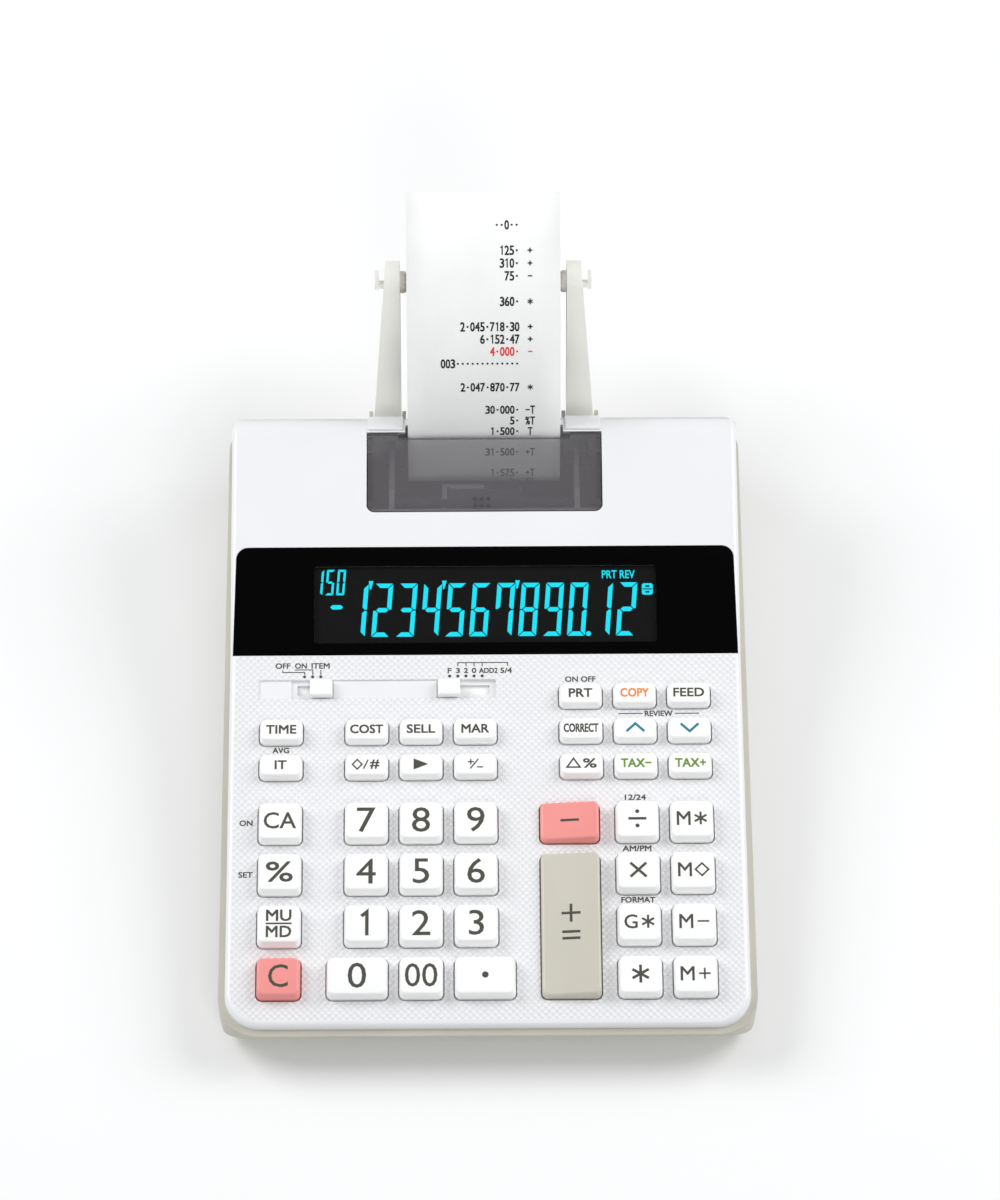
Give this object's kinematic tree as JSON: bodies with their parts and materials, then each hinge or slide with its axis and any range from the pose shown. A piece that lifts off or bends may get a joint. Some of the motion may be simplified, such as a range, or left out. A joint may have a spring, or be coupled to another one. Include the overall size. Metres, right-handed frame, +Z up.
{
  "type": "printing desk calculator",
  "caption": "Desk calculator with sprung keys, slide switches, a tilted display, a paper-tape printer under a hinged lid and a folding roll holder.",
  "frame": {"origin": "on the table under the middle of the part's box, at the bottom of the rubber feet", "axes": "+X to the user's right, +Y to the back, +Z up"},
  "size_m": [0.195, 0.3032, 0.1263],
  "materials": {
    "case_beige": "fine satin",
    "cover_white": "satin, woven emboss round the keys",
    "window_black": "polished",
    "lcd_glass": "dark display glass",
    "lid_smoked": "polished smoked",
    "board_green": "solder mask",
    "mat_rubber": "silicone",
    "key_white": "satin",
    "key_pink": "satin",
    "key_beige": "satin",
    "printer_dark": "moulded grey",
    "platen_rubber": "ground rubber",
    "ink_pad": "inked foam",
    "paper": "uncoated paper",
    "foot_rubber": "moulded"
  },
  "bodies": {
    "root": {"bottom_case": "case_beige", "top_cover": "cover_white", "display_window": "window_black", "lcd_module": "lcd_glass", "key_board": "board_green", "key_mat": "mat_rubber", "printer_frame": "printer_dark", "paper_tape": "paper", "rubber_feet": "foot_rubber"},
    "key_one": {"key_one": "key_white"},
    "key_two": {"key_two": "key_white"},
    "key_three": {"key_three": "key_white"},
    "key_four": {"key_four": "key_white"},
    "key_five": {"key_five": "key_white"},
    "key_six": {"key_six": "key_white"},
    "key_seven": {"key_seven": "key_white"},
    "key_eight": {"key_eight": "key_white"},
    "key_nine": {"key_nine": "key_white"},
    "key_zero": {"key_zero": "key_white"},
    "key_double_zero": {"key_double_zero": "key_white"},
    "key_decimal_point": {"key_decimal_point": "key_white"},
    "key_clear": {"key_clear": "key_pink"},
    "key_markup": {"key_markup": "key_white"},
    "key_percent": {"key_percent": "key_white"},
    "key_clear_all": {"key_clear_all": "key_white"},
    "key_item_total": {"key_item_total": "key_white"},
    "key_time": {"key_time": "key_white"},
    "key_plus_equals": {"key_plus_equals": "key_beige"},
    "key_minus": {"key_minus": "key_pink"},
    "key_total": {"key_total": "key_white"},
    "key_grand_total": {"key_grand_total": "key_white"},
    "key_multiply": {"key_multiply": "key_white"},
    "key_divide": {"key_divide": "key_white"},
    "key_memory_plus": {"key_memory_plus": "key_white"},
    "key_memory_minus": {"key_memory_minus": "key_white"},
    "key_memory_subtotal": {"key_memory_subtotal": "key_white"},
    "key_memory_total": {"key_memory_total": "key_white"},
    "key_non_add": {"key_non_add": "key_white"},
    "key_backspace": {"key_backspace": "key_white"},
    "key_sign_change": {"key_sign_change": "key_white"},
    "key_cost": {"key_cost": "key_white"},
    "key_sell": {"key_sell": "key_white"},
    "key_margin": {"key_margin": "key_white"},
    "key_delta_percent": {"key_delta_percent": "key_white"},
    "key_tax_minus": {"key_tax_minus": "key_white"},
    "key_tax_plus": {"key_tax_plus": "key_white"},
    "key_correct": {"key_correct": "key_white"},
    "key_review_up": {"key_review_up": "key_white"},
    "key_review_down": {"key_review_down": "key_white"},
    "key_print": {"key_print": "key_white"},
    "key_copy": {"key_copy": "key_white"},
    "key_paper_feed": {"key_paper_feed": "key_white"},
    "item_switch": {"item_switch_knob": "key_white"},
    "decimal_switch": {"decimal_switch_knob": "key_white"},
    "printer_lid": {"printer_cover": "lid_smoked"},
    "platen": {"platen_roller": "platen_rubber"},
    "ink": {"ink_roller": "ink_pad"},
    "left_arm": {"left_roll_arm": "case_beige"},
    "right_arm": {"right_roll_arm": "case_beige"},
    "roll": {"paper_roll": "paper"}
  },
  "joints": [
    {"name": "key_one_press", "type": "slide", "parent": "root", "child": "key_one", "axis": [0, 0.1271, -0.9919], "range_m": [0, 0.0025], "stiffness_N_per_m": 240, "springref_m": -0.0012},
    {"name": "key_two_press", "type": "slide", "parent": "root", "child": "key_two", "axis": [0, 0.1271, -0.9919], "range_m": [0, 0.0025], "stiffness_N_per_m": 240, "springref_m": -0.0012},
    {"name": "key_three_press", "type": "slide", "parent": "root", "child": "key_three", "axis": [0, 0.1271, -0.9919], "range_m": [0, 0.0025], "stiffness_N_per_m": 240, "springref_m": -0.0012},
    {"name": "key_four_press", "type": "slide", "parent": "root", "child": "key_four", "axis": [0, 0.1271, -0.9919], "range_m": [0, 0.0025], "stiffness_N_per_m": 240, "springref_m": -0.0012},
    {"name": "key_five_press", "type": "slide", "parent": "root", "child": "key_five", "axis": [0, 0.1271, -0.9919], "range_m": [0, 0.0025], "stiffness_N_per_m": 240, "springref_m": -0.0012},
    {"name": "key_six_press", "type": "slide", "parent": "root", "child": "key_six", "axis": [0, 0.1271, -0.9919], "range_m": [0, 0.0025], "stiffness_N_per_m": 240, "springref_m": -0.0012},
    {"name": "key_seven_press", "type": "slide", "parent": "root", "child": "key_seven", "axis": [0, 0.1271, -0.9919], "range_m": [0, 0.0025], "stiffness_N_per_m": 240, "springref_m": -0.0012},
    {"name": "key_eight_press", "type": "slide", "parent": "root", "child": "key_eight", "axis": [0, 0.1271, -0.9919], "range_m": [0, 0.0025], "stiffness_N_per_m": 240, "springref_m": -0.0012},
    {"name": "key_nine_press", "type": "slide", "parent": "root", "child": "key_nine", "axis": [0, 0.1271, -0.9919], "range_m": [0, 0.0025], "stiffness_N_per_m": 240, "springref_m": -0.0012},
    {"name": "key_zero_press", "type": "slide", "parent": "root", "child": "key_zero", "axis": [0, 0.1271, -0.9919], "range_m": [0, 0.0025], "stiffness_N_per_m": 240, "springref_m": -0.0012},
    {"name": "key_double_zero_press", "type": "slide", "parent": "root", "child": "key_double_zero", "axis": [0, 0.1271, -0.9919], "range_m": [0, 0.0025], "stiffness_N_per_m": 240, "springref_m": -0.0012},
    {"name": "key_decimal_point_press", "type": "slide", "parent": "root", "child": "key_decimal_point", "axis": [0, 0.1271, -0.9919], "range_m": [0, 0.0025], "stiffness_N_per_m": 240, "springref_m": -0.0012},
    {"name": "key_clear_press", "type": "slide", "parent": "root", "child": "key_clear", "axis": [0, 0.1271, -0.9919], "range_m": [0, 0.0025], "stiffness_N_per_m": 240, "springref_m": -0.0012},
    {"name": "key_markup_press", "type": "slide", "parent": "root", "child": "key_markup", "axis": [0, 0.1271, -0.9919], "range_m": [0, 0.0025], "stiffness_N_per_m": 240, "springref_m": -0.0012},
    {"name": "key_percent_press", "type": "slide", "parent": "root", "child": "key_percent", "axis": [0, 0.1271, -0.9919], "range_m": [0, 0.0025], "stiffness_N_per_m": 240, "springref_m": -0.0012},
    {"name": "key_clear_all_press", "type": "slide", "parent": "root", "child": "key_clear_all", "axis": [0, 0.1271, -0.9919], "range_m": [0, 0.0025], "stiffness_N_per_m": 240, "springref_m": -0.0012},
    {"name": "key_item_total_press", "type": "slide", "parent": "root", "child": "key_item_total", "axis": [0, 0.1271, -0.9919], "range_m": [0, 0.0025], "stiffness_N_per_m": 240, "springref_m": -0.0012},
    {"name": "key_time_press", "type": "slide", "parent": "root", "child": "key_time", "axis": [0, 0.1271, -0.9919], "range_m": [0, 0.0025], "stiffness_N_per_m": 240, "springref_m": -0.0012},
    {"name": "key_plus_equals_press", "type": "slide", "parent": "root", "child": "key_plus_equals", "axis": [0, 0.1271, -0.9919], "range_m": [0, 0.0025], "stiffness_N_per_m": 240, "springref_m": -0.0012},
    {"name": "key_minus_press", "type": "slide", "parent": "root", "child": "key_minus", "axis": [0, 0.1271, -0.9919], "range_m": [0, 0.0025], "stiffness_N_per_m": 240, "springref_m": -0.0012},
    {"name": "key_total_press", "type": "slide", "parent": "root", "child": "key_total", "axis": [0, 0.1271, -0.9919], "range_m": [0, 0.0025], "stiffness_N_per_m": 240, "springref_m": -0.0012},
    {"name": "key_grand_total_press", "type": "slide", "parent": "root", "child": "key_grand_total", "axis": [0, 0.1271, -0.9919], "range_m": [0, 0.0025], "stiffness_N_per_m": 240, "springref_m": -0.0012},
    {"name": "key_multiply_press", "type": "slide", "parent": "root", "child": "key_multiply", "axis": [0, 0.1271, -0.9919], "range_m": [0, 0.0025], "stiffness_N_per_m": 240, "springref_m": -0.0012},
    {"name": "key_divide_press", "type": "slide", "parent": "root", "child": "key_divide", "axis": [0, 0.1271, -0.9919], "range_m": [0, 0.0025], "stiffness_N_per_m": 240, "springref_m": -0.0012},
    {"name": "key_memory_plus_press", "type": "slide", "parent": "root", "child": "key_memory_plus", "axis": [0, 0.1271, -0.9919], "range_m": [0, 0.0025], "stiffness_N_per_m": 240, "springref_m": -0.0012},
    {"name": "key_memory_minus_press", "type": "slide", "parent": "root", "child": "key_memory_minus", "axis": [0, 0.1271, -0.9919], "range_m": [0, 0.0025], "stiffness_N_per_m": 240, "springref_m": -0.0012},
    {"name": "key_memory_subtotal_press", "type": "slide", "parent": "root", "child": "key_memory_subtotal", "axis": [0, 0.1271, -0.9919], "range_m": [0, 0.0025], "stiffness_N_per_m": 240, "springref_m": -0.0012},
    {"name": "key_memory_total_press", "type": "slide", "parent": "root", "child": "key_memory_total", "axis": [0, 0.1271, -0.9919], "range_m": [0, 0.0025], "stiffness_N_per_m": 240, "springref_m": -0.0012},
    {"name": "key_non_add_press", "type": "slide", "parent": "root", "child": "key_non_add", "axis": [0, 0.1271, -0.9919], "range_m": [0, 0.0025], "stiffness_N_per_m": 240, "springref_m": -0.0012},
    {"name": "key_backspace_press", "type": "slide", "parent": "root", "child": "key_backspace", "axis": [0, 0.1271, -0.9919], "range_m": [0, 0.0025], "stiffness_N_per_m": 240, "springref_m": -0.0012},
    {"name": "key_sign_change_press", "type": "slide", "parent": "root", "child": "key_sign_change", "axis": [0, 0.1271, -0.9919], "range_m": [0, 0.0025], "stiffness_N_per_m": 240, "springref_m": -0.0012},
    {"name": "key_cost_press", "type": "slide", "parent": "root", "child": "key_cost", "axis": [0, 0.1271, -0.9919], "range_m": [0, 0.0025], "stiffness_N_per_m": 240, "springref_m": -0.0012},
    {"name": "key_sell_press", "type": "slide", "parent": "root", "child": "key_sell", "axis": [0, 0.1271, -0.9919], "range_m": [0, 0.0025], "stiffness_N_per_m": 240, "springref_m": -0.0012},
    {"name": "key_margin_press", "type": "slide", "parent": "root", "child": "key_margin", "axis": [0, 0.1271, -0.9919], "range_m": [0, 0.0025], "stiffness_N_per_m": 240, "springref_m": -0.0012},
    {"name": "key_delta_percent_press", "type": "slide", "parent": "root", "child": "key_delta_percent", "axis": [0, 0.1271, -0.9919], "range_m": [0, 0.0025], "stiffness_N_per_m": 240, "springref_m": -0.0012},
    {"name": "key_tax_minus_press", "type": "slide", "parent": "root", "child": "key_tax_minus", "axis": [0, 0.1271, -0.9919], "range_m": [0, 0.0025], "stiffness_N_per_m": 240, "springref_m": -0.0012},
    {"name": "key_tax_plus_press", "type": "slide", "parent": "root", "child": "key_tax_plus", "axis": [0, 0.1271, -0.9919], "range_m": [0, 0.0025], "stiffness_N_per_m": 240, "springref_m": -0.0012},
    {"name": "key_correct_press", "type": "slide", "parent": "root", "child": "key_correct", "axis": [0, 0.1271, -0.9919], "range_m": [0, 0.0025], "stiffness_N_per_m": 240, "springref_m": -0.0012},
    {"name": "key_review_up_press", "type": "slide", "parent": "root", "child": "key_review_up", "axis": [0, 0.1271, -0.9919], "range_m": [0, 0.0025], "stiffness_N_per_m": 240, "springref_m": -0.0012},
    {"name": "key_review_down_press", "type": "slide", "parent": "root", "child": "key_review_down", "axis": [0, 0.1271, -0.9919], "range_m": [0, 0.0025], "stiffness_N_per_m": 240, "springref_m": -0.0012},
    {"name": "key_print_press", "type": "slide", "parent": "root", "child": "key_print", "axis": [0, 0.1271, -0.9919], "range_m": [0, 0.0025], "stiffness_N_per_m": 240, "springref_m": -0.0012},
    {"name": "key_copy_press", "type": "slide", "parent": "root", "child": "key_copy", "axis": [0, 0.1271, -0.9919], "range_m": [0, 0.0025], "stiffness_N_per_m": 240, "springref_m": -0.0012},
    {"name": "key_paper_feed_press", "type": "slide", "parent": "root", "child": "key_paper_feed", "axis": [0, 0.1271, -0.9919], "range_m": [0, 0.0025], "stiffness_N_per_m": 240, "springref_m": -0.0012},
    {"name": "item_switch_slide", "type": "slide", "parent": "root", "child": "item_switch", "axis": [1, 0, 0], "range_m": [-0.0064, 0]},
    {"name": "decimal_switch_slide", "type": "slide", "parent": "root", "child": "decimal_switch", "axis": [1, 0, 0], "range_m": [0, 0.0126]},
    {"name": "printer_lid_hinge", "type": "hinge", "parent": "root", "child": "printer_lid", "pos_m": [0, 0.07574, 0.05986], "axis": [-1, 0, 0], "range_deg": [0, 75]},
    {"name": "left_arm_fold", "type": "hinge", "parent": "root", "child": "left_arm", "pos_m": [0, 0.0969, 0.04192], "axis": [-1, 0, 0], "range_deg": [0, 55], "deforming": ["paper_tape"]},
    {"name": "right_arm_fold", "type": "hinge", "parent": "root", "child": "right_arm", "pos_m": [0, 0.0969, 0.04192], "axis": [-1, 0, 0], "range_deg": [0, 55]},
    {"name": "paper_roll_spin", "type": "hinge", "parent": "left_arm", "child": "roll", "pos_m": [0, 0.1296, 0.08861], "axis": [-1, 0, 0], "continuous": true},
    {"name": "platen_spin", "type": "hinge", "parent": "root", "child": "platen", "pos_m": [0, 0.07869, 0.04211], "axis": [-1, 0, 0], "continuous": true},
    {"name": "ink_roller_spin", "type": "hinge", "parent": "root", "child": "ink", "pos_m": [0, 0.05654, 0.04742], "axis": [-1, 0, 0], "continuous": true}
  ],
  "couplings": [
    {"joint": "right_arm_fold", "follows": "left_arm_fold", "ratio": 1},
    {"joint": "platen_spin", "follows": "paper_roll_spin", "ratio": 3.0979}
  ]
}
